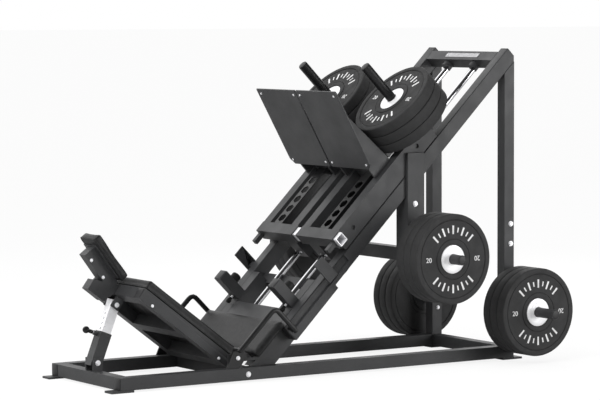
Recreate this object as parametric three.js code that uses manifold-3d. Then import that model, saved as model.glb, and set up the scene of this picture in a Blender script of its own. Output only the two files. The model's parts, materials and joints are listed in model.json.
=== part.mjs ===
// A plate-loaded leg press: a welded base, two rails that climb at about 45 degrees to a tower,
// two foot-plate carriages on chromed guide rods, a seat, an adjustable backrest with a headrest,
// and six stacks of weight plates. Millimetres, +Z up, +X from the headrest towards the tower.
// The user lies facing +X, so "left" is +Y and "right" is -Y. The origin is on the floor, at the
// middle of the machine's length.
import * as THREE from "three";
import { mergeVertices } from "three/addons/utils/BufferGeometryUtils.js";
import Module from "manifold-3d";

const wasm = await Module();
wasm.setup();

// ---------------------------------------------------------------- driving dimensions
// x is measured from the base's headrest end here, and the whole machine is centred at the end.
const GAP = 0.3; // between pieces that touch
const TUBE = 60; // square tube of the main frame
const OUTER = 345; // centre plane to the outer face of the rails
const INNER = OUTER - TUBE;
const BETWEEN = INNER - GAP; // half of what fits between the rails
const BASE_LONG = 2287;
const FOOT = { thick: 10, long: 120, past: 50, inner: 280, outer: 350 };
const BASE_TOP = FOOT.thick + TUBE;

const INCLINE = THREE.MathUtils.degToRad(44.8);
const RAIL_FOOT = { x: 904, z: 252 }; // top corner of the inclined rails' lower end
const RAIL = { long: 1894, deep: 76 };
const HEEL = { long: 345, low: -97 }; // deeper stretch at the rails' lower end
const GROOVE = { u: [10, 480], w: [-50, -6], deep: 14 };

const ROD = { y: 115, w: -43, r: 15 }; // guide rods
const BORE_R = ROD.r + 0.6;
const TOP_BAR_U = 1807;

const PLATE = { r: 222, bore: 25.6, thick: 56.5, edge: 6, sides: 24, space: 0.4 };
const PLATES_PER_HORN = 3;
const HORN_R = 24.8;
const HORN_SIDES = 20;
const COLLAR_R = 35;
const FLANGE = { r: 74, thick: 12 }; // a disc on each horn that its stack rests against

const DROP = { x: [1617, 1718], inner: 262, outer: 362, bottom: 500, cheek: 16, top: 1074 };
const DROP_BAR = { x: 1640, z: [532, 598] }; // crossbar between the drop uprights
const DROP_HORN = { x: 1674, z: 566, face: 500, tip: 742 }; // face is where its stack starts
const TOWER_X = BASE_LONG - TUBE;
const TOWER_HORN = { x: TOWER_X + 40, z: 262, face: 408, tip: 718 };

// The carriages are given along the incline (u), across (y) and square to it (w).
const SLEEVE = { u: [482, 545], w: [40, 103], y: [20, 350] };
const LOCK = { size: 50, wall: 5, clear: 1, near: -372, far: 345 };
const CARRIAGE = { top: 103, end: 1275, inner: 25 };
const HOUSINGS = [
  [490, 590],
  [1180, 1270],
];
const CARRIAGE_HORN = { u: 1245, y: 284, face: 135, tip: 530 };
const FOOT_PLATE = { low: [878, 178], high: [996, 604], thick: 8, y: [6, 364], corner: 30 };

const SEAT_PAD = { u: [-205, 15], half: 350, thick: 39 };
const SEAT_BAR = { y: 225, low: -60, end: 300, start: -190, step: -20 };
const SEAT_CROSS_X = 668; // crossmember that ties the seat between the base rails
const SEAT_SHELF = { u: [10, 106], w: [-8, -0.5] }; // plate between the side bars, above the pad's end
const LEG_DROP = 57; // the side bars are this much deeper below the posts
const POST = { u: [118, 174], y: [222, 282], top: 149.5 };
const REST_STOP = { u: [314, 378], w: [-30, 97], face: 368, thick: 8 };
const REST_LUG = { u: 428, w: [60, 84], y: [322, 348] };

const BACK_ANGLE = THREE.MathUtils.degToRad(37);
const BACK = { start: -145, end: 450, low: 430, high: 487, half: 272 };
const BACK_HINGE = { x: 645, z: 99 };
const HEAD_ANGLE = THREE.MathUtils.degToRad(53.5);
const HEAD_TOP = { x: 47, z: 731 };
const HEAD = { half: 78, long: 265, pad: 48 };
const STRUT_FOOT = { x: 46, z: 107 };
const STRUT_ANGLE = THREE.MathUtils.degToRad(68.8);
const STRUT_REACH = 290.6; // between the strut's two pivots
const STRUT_TOP = 150; // top of the outer tube, from the lower pivot
const STRUT_INNER = 50;
const STRUT_PIN = 133;

// ---------------------------------------------------------------- materials
const material = (color, roughness, metalness) => () =>
  new THREE.MeshStandardMaterial({ color, roughness, metalness });
const POWDER = material(0x3a3b3d, 0.55, 0.3);
const BLACK = material(0x1b1b1c, 0.6, 0.3);
const CHROME = material(0xd8d9db, 0.12, 1);
const ZINC = material(0xe4e5e6, 0.35, 0.9);
const RUBBER = material(0x2b2b2c, 0.85, 0);
const VINYL = material(0x262626, 0.7, 0);

// ---------------------------------------------------------------- shape helpers
function solid(geometry) {
  const plain = geometry.clone();
  plain.deleteAttribute("normal");
  plain.deleteAttribute("uv");
  const merged = mergeVertices(plain, 1e-4);
  return new wasm.Manifold(
    new wasm.Mesh({
      numProp: 3,
      vertProperties: new Float32Array(merged.attributes.position.array),
      triVerts: new Uint32Array(merged.index.array),
    }),
  );
}

function geometryOf(manifold) {
  const mesh = manifold.getMesh();
  const geometry = new THREE.BufferGeometry();
  geometry.setAttribute("position", new THREE.BufferAttribute(mesh.vertProperties, 3));
  geometry.setIndex(new THREE.BufferAttribute(mesh.triVerts, 1));
  const flat = geometry.toNonIndexed();
  flat.computeVertexNormals();
  return flat;
}

const join = (...shapes) => geometryOf(shapes.map(solid).reduce((all, next) => all.add(next)));
const cut = (body, ...tools) =>
  geometryOf(tools.map(solid).reduce((left, tool) => left.subtract(tool), solid(body)));

// A box from its lowest to its highest corner along the local x, y and z axes.
function box([x0, x1], [y0, y1], [z0, z1]) {
  const shape = new THREE.BoxGeometry(x1 - x0, y1 - y0, z1 - z0);
  return shape.translate((x0 + x1) / 2, (y0 + y1) / 2, (z0 + z1) / 2);
}

// A side outline of [x, z] points, given thickness between two y values.
function slab(points, [y0, y1]) {
  const outline = new THREE.Shape(points.map(([x, z]) => new THREE.Vector2(x, z)));
  const shape = new THREE.ExtrudeGeometry(outline, { depth: y1 - y0, bevelEnabled: false });
  return shape.rotateX(Math.PI / 2).translate(0, y1, 0);
}

// Round bars along each local axis, from one end to the other.
function roundX(radius, [x0, x1], y, z, sides = 16) {
  const shape = new THREE.CylinderGeometry(radius, radius, x1 - x0, sides);
  return shape.rotateZ(-Math.PI / 2).translate((x0 + x1) / 2, y, z);
}
function roundY(radius, x, [y0, y1], z, sides = 16) {
  const shape = new THREE.CylinderGeometry(radius, radius, y1 - y0, sides);
  return shape.translate(x, (y0 + y1) / 2, z);
}
function roundZ(radius, x, y, [z0, z1], sides = 16) {
  const shape = new THREE.CylinderGeometry(radius, radius, z1 - z0, sides);
  return shape.rotateX(Math.PI / 2).translate(x, y, (z0 + z1) / 2);
}

// A stretch of y on one side of the centre plane, given for the left and mirrored for the right.
const across = (side, near, far) => (side.sign > 0 ? [near, far] : [-far, -near]);

// ---------------------------------------------------------------- scene graph
const SIDES = [
  { name: "left", sign: 1 },
  { name: "right", sign: -1 },
];
const machine = new THREE.Group();
const highX = TOWER_HORN.x + PLATE.r;
machine.position.x = -(highX - FOOT.past) / 2;

// A group whose local x points at an angle above +X.
function tilted(origin, angle) {
  const group = new THREE.Group();
  group.position.set(origin.x, 0, origin.z);
  group.rotation.y = -angle;
  group.updateMatrix();
  machine.add(group);
  return group;
}
const slope = tilted(RAIL_FOOT, INCLINE);
const back = tilted({ x: 0, z: 0 }, -BACK_ANGLE);
const head = tilted(HEAD_TOP, -HEAD_ANGLE);
const strut = tilted(STRUT_FOOT, STRUT_ANGLE);

// Rewrites a geometry of the machine's axes in a tilted group's axes.
const into = (group, geometry) => geometry.applyMatrix4(group.matrix.clone().invert());

function add(group, name, geometry, paint) {
  const mesh = new THREE.Mesh(geometry, paint());
  mesh.name = name;
  group.add(mesh);
}

// Height over the floor of the slanted plane w, at a given x.
const slopeHeight = (x, w) => RAIL_FOOT.z + (x - RAIL_FOOT.x) * Math.tan(INCLINE) + w / Math.cos(INCLINE);
// Distance along the incline at which the plane w is at a given x, or at a given height.
const slopeAtX = (x, w) => (x - RAIL_FOOT.x + w * Math.sin(INCLINE)) / Math.cos(INCLINE);
const slopeAtZ = (z, w) => (z - RAIL_FOOT.z - w * Math.cos(INCLINE)) / Math.sin(INCLINE);

// ---------------------------------------------------------------- base and tower
const PIVOT_BRACKET = { half: 30, thick: 10, top: 135 };
const PIVOT_R = 8;

function baseRail(side) {
  const rail = box([0, BASE_LONG], across(side, INNER, OUTER), [FOOT.thick, BASE_TOP]);
  const feet = [-FOOT.past, BASE_LONG + FOOT.past - FOOT.long].map((x) =>
    box([x, x + FOOT.long], across(side, FOOT.inner, FOOT.outer), [0, FOOT.thick]),
  );
  // A plate on top of the rail holds the backrest's pivot pin.
  const { half, thick, top } = PIVOT_BRACKET;
  const bracketX = [BACK_HINGE.x - half, BACK_HINGE.x + half];
  const bracket = box(bracketX, across(side, INNER + 1, INNER + 1 + thick), [BASE_TOP - 1, top]);
  const pin = roundY(PIVOT_R, BACK_HINGE.x, across(side, BACK.half - 10, INNER + 3), BACK_HINGE.z);
  return join(rail, ...feet, bracket, pin);
}

// Two lugs on the front crossmember, with stub pins that enter the strut's walls.
function frontCrossmember() {
  const tube = box([0, TUBE], [-BETWEEN, BETWEEN], [FOOT.thick, BASE_TOP]);
  const lugs = SIDES.map((side) => box([20, 72], across(side, 31, 39), [BASE_TOP - 1, 130]));
  const pins = SIDES.map((side) => roundY(7, STRUT_FOOT.x, across(side, 26.5, 32), STRUT_FOOT.z));
  return join(tube, ...lugs, ...pins);
}

function storageHorn(side, horn, root) {
  const collar = roundY(COLLAR_R, horn.x, across(side, root - 1, horn.face - GAP), horn.z, HORN_SIDES);
  const flangeY = across(side, horn.face - GAP - FLANGE.thick, horn.face - GAP);
  const flange = roundY(FLANGE.r, horn.x, flangeY, horn.z, PLATE.sides);
  const bar = roundY(HORN_R, horn.x, across(side, root, horn.tip), horn.z, HORN_SIDES);
  return join(collar, flange, bar);
}

function rearUpright(side) {
  const top = [BASE_LONG, TOWER_X].map((x) => [x, slopeHeight(x, -RAIL.deep - GAP)]);
  const foot = BASE_TOP + GAP;
  const post = slab([[TOWER_X, foot], [BASE_LONG, foot], ...top], across(side, INNER, OUTER));
  return join(post, storageHorn(side, TOWER_HORN, OUTER));
}

// Hangs from the inclined rail, with a cheek plate that laps the rail's outer face.
function dropUpright(side) {
  const [x0, x1] = DROP.x;
  const under = -RAIL.deep - GAP;
  const post = slab(
    [[x0, DROP.bottom], [x1, DROP.bottom], [x1, slopeHeight(x1, under)], [x0, slopeHeight(x0, under)]],
    across(side, DROP.inner, DROP.outer),
  );
  const cheek = box(DROP.x, across(side, DROP.outer - DROP.cheek, DROP.outer), [slopeHeight(x0, under) - 40, DROP.top]);
  return join(post, cheek, storageHorn(side, DROP_HORN, DROP.outer));
}

// The upper end is square to the rail, then trimmed upright in line with the tower's back.
function sideRail(side) {
  const { long, deep } = RAIL;
  const trimFrom = (RAIL_FOOT.x + long * Math.cos(INCLINE) - BASE_LONG) / Math.sin(INCLINE);
  const outline = [
    [0, 0],
    [0, HEEL.low],
    [HEEL.long, HEEL.low],
    [HEEL.long, -deep],
    [slopeAtX(BASE_LONG, -deep), -deep],
    [long, trimFrom],
    [long, 0],
  ];
  const groove = box(GROOVE.u, across(side, OUTER - GROOVE.deep, OUTER + 5), GROOVE.w);
  return cut(slab(outline, across(side, INNER, OUTER)), groove);
}

function topCrossbar() {
  const bar = box([TOP_BAR_U, TOP_BAR_U + TUBE], [-BETWEEN, BETWEEN], [-TUBE, 0]);
  const collarU = [TOP_BAR_U - 27, TOP_BAR_U + 1];
  const collars = SIDES.map((side) => roundX(26, collarU, side.sign * ROD.y, ROD.w + 8, 20));
  const boreU = [TOP_BAR_U - 30, TOP_BAR_U];
  const bores = SIDES.map((side) => roundX(BORE_R, boreU, side.sign * ROD.y, ROD.w, 20));
  return cut(join(bar, ...collars), ...bores);
}

const ROD_SOCKET_U = 40;
for (const side of SIDES) {
  add(machine, `base_rail_${side.name}`, baseRail(side), POWDER);
  add(machine, `rear_upright_${side.name}`, rearUpright(side), POWDER);
  add(machine, `drop_upright_${side.name}`, dropUpright(side), POWDER);
  add(slope, `side_rail_${side.name}`, sideRail(side), POWDER);
  const rodU = [ROD_SOCKET_U + GAP, TOP_BAR_U - GAP];
  add(slope, `guide_rod_${side.name}`, roundX(ROD.r, rodU, side.sign * ROD.y, ROD.w, 20), CHROME);
}
add(machine, "base_crossmember_front", frontCrossmember(), POWDER);
const rearTube = box([TOWER_X, BASE_LONG], [-BETWEEN, BETWEEN], [FOOT.thick, BASE_TOP]);
add(machine, "base_crossmember_rear", rearTube, POWDER);
const dropHalf = DROP.inner - GAP;
const dropTube = box([DROP_BAR.x, DROP_BAR.x + TUBE], [-dropHalf, dropHalf], DROP_BAR.z);
add(machine, "drop_crossbar", dropTube, POWDER);
add(slope, "top_crossbar", topCrossbar(), POWDER);

// ---------------------------------------------------------------- seat
// Side bars carry the pad and the stop posts and run down to the base, where a crossmember and
// side plates bolt the seat between the base rails. A flat shelf closes the gap below the posts.
function seatFrame() {
  const { y, low, end, start, step } = SEAT_BAR;
  const legLow = low - LEG_DROP;
  const floor = BASE_TOP - 1;
  const outline = [
    [slopeAtZ(floor, step), step],
    [slopeAtZ(floor, legLow), legLow],
    [HEEL.long, legLow],
    [HEEL.long, low],
    [end, low],
    [end, 0],
    [start, 0],
    [start, step],
  ];
  const bars = SIDES.map((side) => slab(outline, across(side, y, BETWEEN)));
  const ties = [
    box([start, start + 50], [-y - 1, y + 1], [-45, -5]),
    box([ROD_SOCKET_U - TUBE, ROD_SOCKET_U], [-y - 1, y + 1], [-73, -13]),
    box([HEEL.long - TUBE, HEEL.long], [-y - 1, y + 1], [legLow, low]),
    box(SEAT_SHELF.u, [-y - 1, y + 1], SEAT_SHELF.w),
  ];
  const base = [
    box([SEAT_CROSS_X, SEAT_CROSS_X + TUBE], [-BETWEEN, BETWEEN], [FOOT.thick, BASE_TOP]),
    ...SIDES.map((side) => box([700, 840], across(side, BETWEEN - 8, BETWEEN), [FOOT.thick, BASE_TOP])),
    ...SIDES.map((side) => box([692, 800], across(side, BETWEEN - 10, BETWEEN), [97, 132])),
  ];
  const room = box([SEAT_PAD.u[0] - 2, SEAT_PAD.u[1]], [-BETWEEN, BETWEEN], [GAP, SEAT_PAD.thick + 2]);
  return cut(join(...bars, ...ties, ...base.map((piece) => into(slope, piece))), room);
}

const GRIP = { y: 391, r: 12.5, u: 14, w: 131, low: -270, bend: 32, foot: -40 };
function handGrip(side) {
  const y = side.sign * GRIP.y;
  const point = (u, w) => new THREE.Vector3(u, y, w);
  const path = new THREE.CurvePath();
  path.add(new THREE.LineCurve3(point(GRIP.low, GRIP.w), point(GRIP.u - GRIP.bend, GRIP.w)));
  const bend = [point(GRIP.u - GRIP.bend, GRIP.w), point(GRIP.u, GRIP.w), point(GRIP.u, GRIP.w - GRIP.bend)];
  path.add(new THREE.QuadraticBezierCurve3(...bend));
  path.add(new THREE.LineCurve3(bend[2], point(GRIP.u, GRIP.foot)));
  const section = new THREE.Shape().absarc(0, 0, GRIP.r, 0, 2 * Math.PI);
  const bar = new THREE.ExtrudeGeometry(section, {
    extrudePath: path,
    steps: 30,
    curveSegments: 6,
    bevelEnabled: false,
  });
  // One end is bolted to the inclined rail, the other to a slanted plate on the base rail.
  const upperStub = roundY(10, GRIP.u, across(side, OUTER + GAP, GRIP.y), GRIP.foot + 16, 12);
  const lowerStub = roundY(10, GRIP.low + 12, across(side, 334, GRIP.y), GRIP.w, 12);
  const foot = BASE_TOP + GAP;
  const outline = [[578, foot], [652, foot], [694, 128], [668, 176], [622, 164], [606, 132]];
  const plate = slab(outline, across(side, 333, 341));
  return join(bar, upperStub, lowerStub, into(slope, plate));
}

add(slope, "seat_frame", seatFrame(), POWDER);
add(slope, "seat_pad", box(SEAT_PAD.u, [-SEAT_PAD.half, SEAT_PAD.half], [1, SEAT_PAD.thick]), VINYL);
for (const side of SIDES) add(slope, `hand_grip_${side.name}`, handGrip(side), BLACK);

// ---------------------------------------------------------------- stops
// A post on each seat bar carries a rubber bumper and is held by a pull pin.
const postY = (side) => (side.sign * (POST.y[0] + POST.y[1])) / 2;
const PIN_W = 22;

function stopPost(side) {
  const post = box(POST.u, across(side, ...POST.y), [GAP, POST.top]);
  const pinHole = roundX(7, [POST.u[0] - 5, POST.u[0] + 34], postY(side), PIN_W, 12);
  return cut(post, pinHole);
}
function stopPin(side) {
  const face = POST.u[0];
  const shaft = roundX(6, [face - 20, face + 20], postY(side), PIN_W, 12);
  const knob = roundX(13, [face - 44, face - 16], postY(side), PIN_W, 12);
  return join(shaft, knob);
}
const stopBumper = (side) => roundX(25, [POST.u[1] + GAP, POST.u[1] + 38], postY(side), 74, 20);

// A stop plate stands off each inclined rail's outer face, below the carriage's lug.
function railStop(side) {
  const { u, w, face, thick } = REST_STOP;
  const plate = box(u, across(side, face, face + thick), w);
  const spacer = box([u[0] + 16, u[1] - 16], across(side, OUTER + GAP, face + 1), [w[0] + 4, w[0] + 26]);
  return join(plate, spacer);
}

for (const side of SIDES) {
  add(slope, `stop_post_${side.name}`, stopPost(side), POWDER);
  add(slope, `stop_bumper_${side.name}`, stopBumper(side), RUBBER);
  add(slope, `stop_pin_${side.name}`, stopPin(side), BLACK);
  add(slope, `rail_stop_${side.name}`, railStop(side), POWDER);
}

// ---------------------------------------------------------------- carriages
// How far along the incline the foot plate's rear face lies at height w.
function footPlateRear(w) {
  const [u0, w0] = FOOT_PLATE.low;
  const [u1, w1] = FOOT_PLATE.high;
  const lean = (u1 - u0) / (w1 - w0);
  return u0 + (w - w0) * lean + FOOT_PLATE.thick * Math.hypot(1, lean) + GAP;
}

const sleeveSpan = ([low, high], size) => [(low + high - size) / 2, (low + high + size) / 2];

function carriageFrame(side) {
  const { top, end, inner } = CARRIAGE;
  const under = top - TUBE;
  const start = SLEEVE.u[1] - 1;
  const pieces = [
    box(SLEEVE.u, across(side, ...SLEEVE.y), SLEEVE.w), // sleeve for the lock bar
    box([505, start + 2], across(side, INNER, OUTER), [4, SLEEVE.w[0] + 1]), // toe of the side beam
    box([REST_LUG.u, SLEEVE.u[0] + 1], across(side, ...REST_LUG.y), REST_LUG.w), // lug over the rail's stop
    box([start, end], across(side, INNER, OUTER), [4, top]), // side beam
    box([start, end], across(side, inner, inner + TUBE), [under, top]), // inner bar
    box([end - TUBE, end], across(side, inner + 1, INNER + 1), [under, top]), // upper crossmember
    box([931, 971], across(side, inner + 1, INNER + 1), [under + 10, top]), // foot plate's crossmember
    ...HOUSINGS.map((u) => box(u, across(side, 60, 147), [-78, under + 1])), // bearing housings
  ];
  const lean = [[footPlateRear(190), 190], [footPlateRear(520), 520], [1012, top - 1], [footPlateRear(top) + 20, top - 1]];
  const gussets = [50, 300].map((y) => slab(lean, across(side, y, y + 12)));
  const bores = HOUSINGS.map(([u0, u1]) => roundX(BORE_R, [u0 - 5, u1 + 5], side.sign * ROD.y, ROD.w, 20));
  const dimples = [[612, 49], [1155, 57]].map(([u, w]) => roundY(12, u, across(side, OUTER - 8, OUTER + 5), w));
  const passage = box(
    sleeveSpan(SLEEVE.u, LOCK.size + 2 * LOCK.clear),
    across(side, SLEEVE.y[0] - 5, SLEEVE.y[1] + 5),
    sleeveSpan(SLEEVE.w, LOCK.size + 2 * LOCK.clear),
  );
  return cut(join(...pieces, ...gussets), ...bores, ...dimples, passage);
}

// A square tube pushed through both carriages' sleeves, open at its right end.
function lockBar() {
  const size = LOCK.size;
  const hole = size - 2 * LOCK.wall;
  const tube = box(sleeveSpan(SLEEVE.u, size), [LOCK.near, LOCK.far], sleeveSpan(SLEEVE.w, size));
  const bore = box(sleeveSpan(SLEEVE.u, hole), [LOCK.near - 5, LOCK.far - 40], sleeveSpan(SLEEVE.w, hole));
  return cut(tube, bore);
}

// A folded channel with a row of six-sided slots along its top.
function ladderRack(side) {
  const middle = side.sign * 212;
  const half = 35;
  const [u0, u1] = [SLEEVE.u[1] + GAP, 930.5];
  const corners = [[u0, -half], [u1, -half], [u1, half], [u0, half]];
  const outline = new THREE.Shape(corners.map(([u, y]) => new THREE.Vector2(u, middle + y)));
  const hexagon = [[-25, 0], [-13, -23], [13, -23], [25, 0], [13, 23], [-13, 23]];
  const pitch = 64.5;
  for (let centre = u0 + 36; centre < u1 - 36; centre += pitch) {
    outline.holes.push(new THREE.Path(hexagon.map(([u, y]) => new THREE.Vector2(centre + u, middle + y))));
  }
  const top = new THREE.ExtrudeGeometry(outline, { depth: 6, bevelEnabled: false });
  top.translate(0, 0, CARRIAGE.top - 6);
  const flanges = [-half, half - 6].map((y) => box([u0, u1], [middle + y, middle + y + 6], [60, CARRIAGE.top - 5]));
  return join(top, ...flanges);
}

function footPlate(side) {
  const { low, high, thick, y, corner } = FOOT_PLATE;
  const rise = Math.hypot(high[0] - low[0], high[1] - low[1]);
  const points = [[y[0], 0], [y[1] - corner, 0], [y[1], corner], [y[1], rise], [y[0], rise]];
  const outline = new THREE.Shape(points.map(([along, up]) => new THREE.Vector2(side.sign * along, up)));
  const plate = new THREE.ExtrudeGeometry(outline, { depth: thick, bevelEnabled: false });
  const up = new THREE.Vector3((high[0] - low[0]) / rise, 0, (high[1] - low[1]) / rise);
  const sideways = new THREE.Vector3(0, 1, 0);
  const placed = new THREE.Matrix4().makeBasis(sideways, up, sideways.clone().cross(up));
  return plate.applyMatrix4(placed).translate(low[0], 0, low[1]);
}

function carriageHorn(side) {
  const { u, y, face, tip } = CARRIAGE_HORN;
  const centre = side.sign * y;
  const collar = roundZ(COLLAR_R + 12, u, centre, [CARRIAGE.top + GAP, face - GAP], HORN_SIDES);
  return join(collar, roundZ(HORN_R, u, centre, [CARRIAGE.top + GAP, tip], HORN_SIDES));
}

for (const side of SIDES) {
  add(slope, `carriage_frame_${side.name}`, carriageFrame(side), POWDER);
  add(slope, `ladder_rack_${side.name}`, ladderRack(side), BLACK);
  add(slope, `foot_plate_${side.name}`, footPlate(side), POWDER);
  add(slope, `carriage_horn_${side.name}`, carriageHorn(side), BLACK);
}
add(slope, "lock_bar", lockBar(), ZINC);

// ---------------------------------------------------------------- backrest and headrest
// The backrest's own axes run down along it (b) and square to its face (p).
function backAxes({ x, z }) {
  const local = new THREE.Vector3(x, 0, z).applyMatrix4(back.matrix.clone().invert());
  return [local.x, local.z];
}

function backFrame() {
  const { start, end, low, high, half } = BACK;
  const sides = SIDES.map((side) => box([start, end], across(side, half - TUBE, half), [low, high]));
  const crossY = [TUBE - half - 1, half - TUBE + 1];
  const crosses = [start, 150, end - TUBE].map((b) => box([b, b + TUBE], crossY, [low, high]));
  const [hingeB, hingeP] = backAxes(BACK_HINGE);
  const knuckles = SIDES.flatMap((side) => {
    const y = across(side, half - 14, half);
    return [roundY(19, hingeB, y, hingeP, 20), box([end - 25, hingeB], y, [hingeP - 19, hingeP + 19])];
  });
  const bores = SIDES.map((side) => roundY(PIVOT_R + 1, hingeB, across(side, half - 20, half + 5), hingeP, 20));
  // Two lugs under the top crossmember hold the strut's upper pin.
  const [pinB, pinP] = backAxes({
    x: STRUT_FOOT.x + STRUT_REACH * Math.cos(STRUT_ANGLE),
    z: STRUT_FOOT.z + STRUT_REACH * Math.sin(STRUT_ANGLE),
  });
  const lugs = SIDES.map((side) => box([pinB - 26, pinB + 22], across(side, 31, 39), [pinP - 20, low + 1]));
  const pin = roundY(6, pinB, [-38, 38], pinP);
  return join(cut(join(...sides, ...crosses, ...knuckles), ...bores), ...lugs, pin);
}

// A post behind the head pad, with a block that joins it to the backrest's top crossmember.
function headFrame() {
  const y = [-TUBE / 2, TUBE / 2];
  const post = box([50, 270], y, [-112, -HEAD.pad - 4]);
  const backing = box([40, HEAD.long - 25], [-62, 62], [-HEAD.pad - 5, -HEAD.pad - GAP]);
  const topFace = BACK.start - GAP;
  const world = (b, p) => [
    b * Math.cos(BACK_ANGLE) + p * Math.sin(BACK_ANGLE),
    p * Math.cos(BACK_ANGLE) - b * Math.sin(BACK_ANGLE),
  ];
  const block = slab([[33, 507], [0, 463], [81, 401], world(topFace, BACK.low), world(topFace, 480)], y);
  return join(post, backing, into(head, block));
}

add(back, "back_frame", backFrame(), POWDER);
const backPad = box([BACK.start, BACK.end + 13], [-BACK.half + 2, BACK.half - 2], [BACK.high + 0.5, BACK.high + 54]);
add(back, "back_pad", backPad, VINYL);
add(head, "head_frame", headFrame(), POWDER);
add(head, "head_pad", box([0, HEAD.long], [-HEAD.half, HEAD.half], [-HEAD.pad, 0]), VINYL);

// ---------------------------------------------------------------- telescoping strut
function strutOuter() {
  const half = TUBE / 2;
  const wall = 4;
  const tube = box([-22, STRUT_TOP], [-half, half], [-half, half]);
  const barrel = roundZ(11, STRUT_PIN, 0, [half - 1, half + 25]);
  const bore = box([-30, STRUT_TOP + 5], [wall - half, half - wall], [wall - half, half - wall]);
  const pivot = roundY(7.8, 0, [-half - 5, half + 5], 0, 20);
  const pinHole = roundZ(7, STRUT_PIN, 0, [20, half + 30], 12);
  return cut(join(tube, barrel), bore, pivot, pinHole);
}

function strutInner() {
  const half = STRUT_INNER / 2;
  const bar = box([70, STRUT_REACH + 21], [-half, half], [-half, half]);
  const pitch = 25.5;
  const firstHole = 87;
  const row = Array.from({ length: 7 }, (_, i) => roundZ(6, firstHole + i * pitch, 0, [half - 12, half + 5], 12));
  const eye = roundY(11, STRUT_REACH, [-half - 5, half + 5], 0, 20);
  return cut(bar, ...row, eye);
}

function strutPin() {
  const face = STRUT_INNER / 2 + 1.3;
  const shaft = roundZ(6, STRUT_PIN, 0, [face, 84], 12);
  const ball = new THREE.SphereGeometry(17, 16, 12).rotateX(Math.PI / 2).translate(STRUT_PIN, 0, 96);
  return join(shaft, ball);
}

add(strut, "strut_outer", strutOuter(), POWDER);
add(strut, "strut_inner", strutInner(), ZINC);
add(strut, "strut_pin", strutPin(), BLACK);

// ---------------------------------------------------------------- weight plates
function weightPlate() {
  const { r, bore, thick, edge, sides, space } = PLATE;
  const high = thick - space;
  const profile = [
    [bore, 0],
    [r - edge, 0],
    [r, edge],
    [r, high - edge],
    [r - edge, high],
    [bore, high],
    [bore, 0],
  ];
  return new THREE.LatheGeometry(profile.map(([x, y]) => new THREE.Vector2(x, y)), sides);
}

function stack(group, name, place) {
  for (let i = 0; i < PLATES_PER_HORN; i++) {
    add(group, `${name}_${i + 1}`, place(weightPlate(), i * PLATE.thick), RUBBER);
  }
}

for (const side of SIDES) {
  const turn = side.sign > 0 ? 0 : Math.PI;
  const onHorn = (horn) => (plate, along) =>
    plate.translate(0, horn.face + along, 0).rotateX(turn).translate(horn.x, 0, horn.z);
  stack(machine, `storage_rear_${side.name}`, onHorn(TOWER_HORN));
  stack(machine, `storage_front_${side.name}`, onHorn(DROP_HORN));
  const { u, y, face } = CARRIAGE_HORN;
  const onCarriage = (plate, along) => plate.rotateX(Math.PI / 2).translate(u, side.sign * y, face + along);
  stack(slope, `carriage_plate_${side.name}`, onCarriage);
}

export default machine;
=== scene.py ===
import json
import math

import bmesh
import bpy
from mathutils import Matrix, Vector
from mathutils.bvhtree import BVHTree


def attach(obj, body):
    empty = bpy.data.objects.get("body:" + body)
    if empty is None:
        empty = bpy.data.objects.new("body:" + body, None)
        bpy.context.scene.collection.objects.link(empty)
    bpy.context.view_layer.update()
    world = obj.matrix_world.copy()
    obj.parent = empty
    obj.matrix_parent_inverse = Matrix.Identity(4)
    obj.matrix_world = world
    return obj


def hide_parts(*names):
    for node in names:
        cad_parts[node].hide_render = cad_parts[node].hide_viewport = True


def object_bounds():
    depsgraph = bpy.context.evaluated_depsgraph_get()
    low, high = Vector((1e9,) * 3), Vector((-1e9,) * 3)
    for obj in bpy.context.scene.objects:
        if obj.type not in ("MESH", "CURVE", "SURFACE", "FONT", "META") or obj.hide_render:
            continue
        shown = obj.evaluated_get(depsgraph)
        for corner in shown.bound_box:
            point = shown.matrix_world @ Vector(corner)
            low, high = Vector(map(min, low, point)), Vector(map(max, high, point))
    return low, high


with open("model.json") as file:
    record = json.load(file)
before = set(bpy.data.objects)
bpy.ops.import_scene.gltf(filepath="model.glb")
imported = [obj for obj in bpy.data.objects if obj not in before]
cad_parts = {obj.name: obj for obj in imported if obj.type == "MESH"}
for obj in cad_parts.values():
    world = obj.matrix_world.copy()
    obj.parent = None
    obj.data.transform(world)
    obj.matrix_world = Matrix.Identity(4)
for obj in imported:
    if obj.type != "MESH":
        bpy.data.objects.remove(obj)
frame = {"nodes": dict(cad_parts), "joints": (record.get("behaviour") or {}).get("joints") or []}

CAD_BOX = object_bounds()
HEAD_END = CAD_BOX[0][0]
SIDES = {"left": 1, "right": -1}

# ---------------------------------------------------------------- directions and places
INCLINE = math.radians(44.8)
BACK_TILT = math.radians(37)
HEAD_TILT = math.radians(53.5)
STRUT_TILT = math.radians(68.8)
X, Y, Z = Vector((1, 0, 0)), Vector((0, 1, 0)), Vector((0, 0, 1))


def pair(angle):
    """The direction at an angle above +X, and the one square to it, upwards."""
    return (Vector((math.cos(angle), 0, math.sin(angle))), Vector((-math.sin(angle), 0, math.cos(angle))))


UP_SLOPE, OFF_SLOPE = pair(INCLINE)
DOWN_BACK, OFF_BACK = pair(-BACK_TILT)
DOWN_HEAD, OFF_HEAD = pair(-HEAD_TILT)
UP_STRUT, OFF_STRUT = pair(STRUT_TILT)


def span(node, direction):
    """How far a CAD node reaches along a direction, from its lowest to its highest value."""
    along = [v.co.dot(direction) for v in frame["nodes"][node].data.vertices]
    return min(along), max(along)


def middle(node, direction):
    low, high = span(node, direction)
    return (low + high) / 2


def point(along, a, y, square, b):
    """The place with these distances along a direction, across, and along the direction square to it."""
    return along * a + Y * y + square * b


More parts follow.
